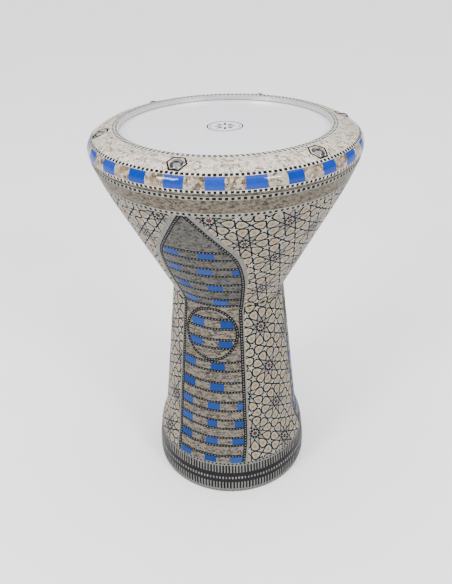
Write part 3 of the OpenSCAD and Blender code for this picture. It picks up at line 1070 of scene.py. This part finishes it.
def dress_shell(m):
    for name, z0, z1, mat in (("veneer_foot", 0.6, 46.5, m.panel), ("veneer_stem", 46.5, 254, m.panel),
                              ("veneer_cone", 254, 412.6, m.arch)):
        skin = revolve(name, shell_band(z0, z1), mat, "shell", 300)
    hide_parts("panel_pearl", "arch_pearl", "medallion_pearl")
    layer = shell_band(394, 408.8, 1.0, 0.06)
    collar = revolve("collar_band_pearl", layer, m.collar, "shell")
    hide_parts("collar_band")
    for name, node, z0, z1, mat, slot in (
        ("collar_strip", "collar_dots", 408.8, 412.6, m.cream_low, "dot_strip_shell"),
        ("cone_strip", "cone_dots", 389.6, 394, m.cream_low, "dot_strip_shell"),
        ("foot_strip", "foot_dots", 43.2, 46.5, m.cream_foot, "dot_strip_foot"),
        ("foot_stripe_base_upper", "foot_upper_stripes", 31.5, 43.2, m.cream_foot, "stripe_inlay"),
        ("foot_groove_upper", "foot_upper_groove", 26.2, 31.5, m.groove, "groove_black"),
        ("foot_bead_base", "foot_dash_bead", 21.8, 26.2, m.groove, "bead_inlay"),
        ("foot_groove_lower", "foot_lower_groove", 17.2, 21.8, m.groove, "groove_black"),
        ("foot_stripe_base_lower", "foot_lower_stripes", 5.2, 17.2, m.cream_foot, "stripe_inlay"),
        ("foot_edge", "foot_edge_strip", 0.6, 5.2, m.cream_foot, "foot_edge_inlay"),
    ):
        strip = revolve(name, shell_band(z0, z1, 1.0, 0.08), mat, "shell")
        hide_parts(node)

    dots = Pieces(shell_point, -0.2, 0.16)
    dots_row(dots, 160, 410.7, 3.2, 2.6, 140.2, bend=410.5)
    dots_row(dots, 148, 391.9, 2.7, 2.4, 133, bend=392)
    dots.build("shell_dots", m.black, "shell", "hexagon_black")
    foot = Pieces(shell_point, -0.2, 0.16)
    dots_row(foot, 118, 44.9, 2.2, 1.9, 92.7)
    dots_row(foot, 118, 2.9, 1.6, 1.5, 95.5)
    for k in range(153):
        az = 360 * k / 153 + rng.uniform(-0.12, 0.12)
        w = 0.62 * rng.uniform(0.85, 1.15)
        lean = rng.uniform(-0.1, 0.1)
        top = 42.4 + rng.uniform(-0.3, 0.3)
        foot.patch([[(az - w, 31.5), (az + w, 31.5)], [(az - w, 37), (az + w, 37)],
                    [(az - w + lean, top), (az + w + lean, top)]])
        az += 0.9
        low = 6.3 + rng.uniform(-0.3, 0.3)
        foot.patch([[(az - w + lean, low), (az + w + lean, low)], [(az - w, 12), (az + w, 12)],
                    [(az - w, 17.2), (az + w, 17.2)]])
    foot.build("foot_black_inlay", m.black, "shell", "stripe_inlay")
    beads = Pieces(shell_point, -0.2, 0.16)
    for k in range(151):
        az = 360 * k / 151 + rng.uniform(-0.1, 0.1)
        w = 0.52 * rng.uniform(0.8, 1.15)
        low, high = 22.1 + rng.uniform(-0.2, 0.2), 25.9 + rng.uniform(-0.2, 0.2)
        beads.polygon([(az - w, low + 0.5), (az, low), (az + w, low + 0.5), (az + w, high - 0.5),
                       (az, high), (az - w, high - 0.5)], centre=False)
    beads.build("foot_beads", m.white, "shell", "bead_inlay")


def dress_panels(m):
    black = Pieces(shell_point, -0.3, 0.20)
    white = Pieces(shell_point, -0.3, 0.25)
    blue = Pieces(shell_point, -0.3, 0.10)
    plain = Pieces(shell_point, -0.3, 0.13)
    for k in range(3):
        middle = PANEL_FIRST + 120 * k
        for strips, limit in ((STRIPS, lancet_limit), (MEDAL_STRIPS, medal_limit)):
            for top, low, tiles in strips:
                for a0, a1 in tiles:
                    jitter = TILE_TURN + rng.uniform(-0.25, 0.25)
                    strip_patch(blue, middle, a0 + jitter, a1 + jitter, max(low + 1.0, 46.6), top - 1.0,
                                lambda z, f=limit: f(z) + 0.1)
                chain_line(black, white, middle, top, limit)
                if low > 46:
                    chain_line(black, white, middle, low, limit)
        border(black, white, plain, middle)
        medallion(black, white, middle)
    plain.build("panel_edging", m.edging, "shell", "panel_pearl")
    lines = black.build("chain_lines", m.black, "shell", "chain_black")
    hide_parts("panel_chain_lines", "panel_frames", "medallion_rings")
    white.build("chain_beads", m.white, "shell", "dot_strip_shell")
    tiles = blue.build("panel_tiles", m.blue_low, "shell", "blue_tile_panel")
    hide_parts("panel_blue_tiles")


def dress_stars(m):
    base = Pieces(shell_point, -0.3, 0.05)
    proud = {"petal": 0.14, "star": 0.14, "chip": 0.13, "spark": 0.14, "heart": 0.18}
    groups = {kind: Pieces(shell_point, -0.25, high) for kind, high in proud.items()}
    for k in range(3):
        middle = PANEL_FIRST + 60 + 120 * k
        rows = []
        z = 46.7
        while z < PANEL_TOP:
            edge = 60 - lancet_outer(z) + 0.6
            rows.append([(middle - edge + 2 * edge * i / 44, z) for i in range(45)])
            z += 3.0
        edge = 60 - lancet_outer(PANEL_TOP)
        rows.append([(middle - edge + 2 * edge * i / 44, PANEL_TOP) for i in range(45)])
        base.patch(rows)
        column, at = ((-14.1, 222.2), (0.0, 236.0), (14.1, 222.2))[k]
        origin, turn = (((-5.0, 168.3), 7.5), ((12.0, 150.0), -6.0), ((36.0, 171.7), -7.3))[k]
        star_panel(groups, middle, column, at, origin, math.radians(turn))
    ground = base.build("star_ground", m.star_black, "shell", "star_inlay")
    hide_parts("star_panels")
    for kind, group in groups.items():
        group.build("rosette_" + kind + "s", getattr(m, kind), "shell", "star_inlay")


def dress_ring(m):
    mouth = revolve("mouth_strip", ring_band(0, 7.4), m.cream, "tuning_ring")
    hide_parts("ring_mouth_checker")
    top = revolve("ring_top_pearl", ring_band(7.4, 28.13), m.top, "tuning_ring")
    cut_bolt_holes(top)
    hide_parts("ring_top_veneer", "hex_fields")
    for name, node, t0, t1, mat, slot in (
        ("ring_strip_upper", "ring_upper_dots", 28.13, 31.59, m.cream, "dot_strip_ring"),
        ("ring_band", "ring_band_pearl", 31.59, 44.08, m.band, "band_pearl"),
        ("ring_strip_lower", "ring_lower_dots", 44.08, 47.43, m.cream, "dot_strip_ring"),
        ("ring_edge", "ring_edge_strip", 47.43, RING_LENGTH, m.collar, "edge_pearl"),
    ):
        strip = revolve(name, ring_band(t0, t1), mat, "tuning_ring")
        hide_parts(node)
    dots = RingPieces(ring_point, -0.2, 0.09)
    dots_row(dots, 146, 2.2, 2.6, 2.0, 111.5)
    dots_row(dots, 146, 5.2, 2.7, 2.1, 114.7, 0.35)
    dots_row(dots, 180, 29.9, 3.05, 2.75, 137.5)
    dots_row(dots, 180, 45.8, 3.05, 2.65, 141.6)
    dots.build("ring_dots", m.black, "tuning_ring", "hexagon_black")
    tiles = RingPieces(ring_point, -0.2, 0.07)
    for k in range(24):
        wide = 3.5 + rng.uniform(-0.35, 0.45)
        az = FIRST_TILE + 15 * k + rng.uniform(-0.4, 0.4)
        lean = rng.uniform(-0.25, 0.25)
        rows = []
        for j in range(9):
            t = 31.75 + 12.15 * j / 8
            shift = lean * (j / 4 - 1)
            rows.append([(az + shift - wide + 2 * wide * i / 5, t) for i in range(6)])
        tiles.patch(rows)
    blue = tiles.build("ring_tiles", m.blue, "tuning_ring", "blue_tile_ring")
    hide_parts("ring_band_blue")
    hexes = Pieces(top_point, -0.2, 0.10)
    for k in range(6):
        hexagon(hexes, FIRST_BOLT + 60 * k, 10.4, 8.4)
    strips = hexes.build("hexagon_strips", m.black, "tuning_ring", "hexagon_black")
    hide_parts("hex_borders")


def flat_point(x, y, h=0.0):
    return Vector((x, y, FILM_TOP + h)) * MM, Vector((0, 0, 1))


def dress_head(m):
    """A plain printed ring with eight lozenges in the middle of the head."""
    mark = Pieces(flat_point, -0.02, 0.03)
    for outer, inner in ((19, 17.6), (15.5, 15.0)):
        ring_of_pairs(mark, list(zip(ngon_at((0, 0), 64, inner, 0), ngon_at((0, 0), 64, outer, 0))))
    for k in range(8):
        mark.polygon(turned([(3.2, 0), (7, -1.9), (12.5, 0), (7, 1.9)], math.radians(45 * k)),
                     centre=False)
    mark.build("head_mark", m.print, "shell", "drum_film")


def dress_metal(m):
    for node, material in (("shell", m.cast), ("threaded_inserts", m.brass), ("drumhead_film", m.film),
                           ("head_collar", m.film), ("head_hoop", m.machined),
                           ("tuning_ring", m.machined), ("bolt_washers", m.washer)):
        give(node, material)
    for k in range(1, 7):
        give("tension_bolt_%d" % k, m.steel)


# ------ studio
def make_floor():
    s = Shader("floor_paper")
    s.color(s.ramp(s.noise(4, 3), [(0.3, (0.90, 0.90, 0.905)), (0.8, (0.93, 0.93, 0.935))]))
    s.set(Roughness=0.8)
    mesh = bpy.data.meshes.new("floor")
    size = 30.0
    corners = [(-size, -size, 0), (size, -size, 0), (size, size, 0), (-size, size, 0)]
    mesh.from_pydata(corners, [], [(0, 1, 2, 3)])
    mesh.materials.append(s.material)
    floor = add_object("floor", mesh)


def area_light(name, spot, side, power):
    data = bpy.data.lights.new(name, "AREA")
    data.shape = "RECTANGLE"
    data.size, data.size_y, data.energy = side, side, power
    light = add_object(name, data)
    light.location = spot
    towards = Vector((0, 0, 0.25)) - Vector(spot)
    light.rotation_euler = towards.to_track_quat("-Z", "Y").to_euler()


def make_lights():
    world = bpy.data.worlds.new("studio")
    world.use_nodes = True
    background = world.node_tree.nodes["Background"]
    background.inputs[0].default_value = (0.94, 0.95, 0.97, 1)
    background.inputs[1].default_value = 0.45
    bpy.context.scene.world = world
    sky = bpy.data.lights.new("ceiling", "SUN")
    sky.energy = 5.0
    sky.angle = math.radians(100)
    add_object("ceiling", sky)
    area_light("soft_left", (-1.35, -1.25, 1.35), 0.5, 36)
    area_light("soft_right", (1.2, -1.5, 1.5), 0.45, 32)


make_camera()
materials = make_materials()
dress_metal(materials)
dress_shell(materials)
dress_panels(materials)
dress_stars(materials)
dress_ring(materials)
dress_head(materials)
make_floor()
make_lights()
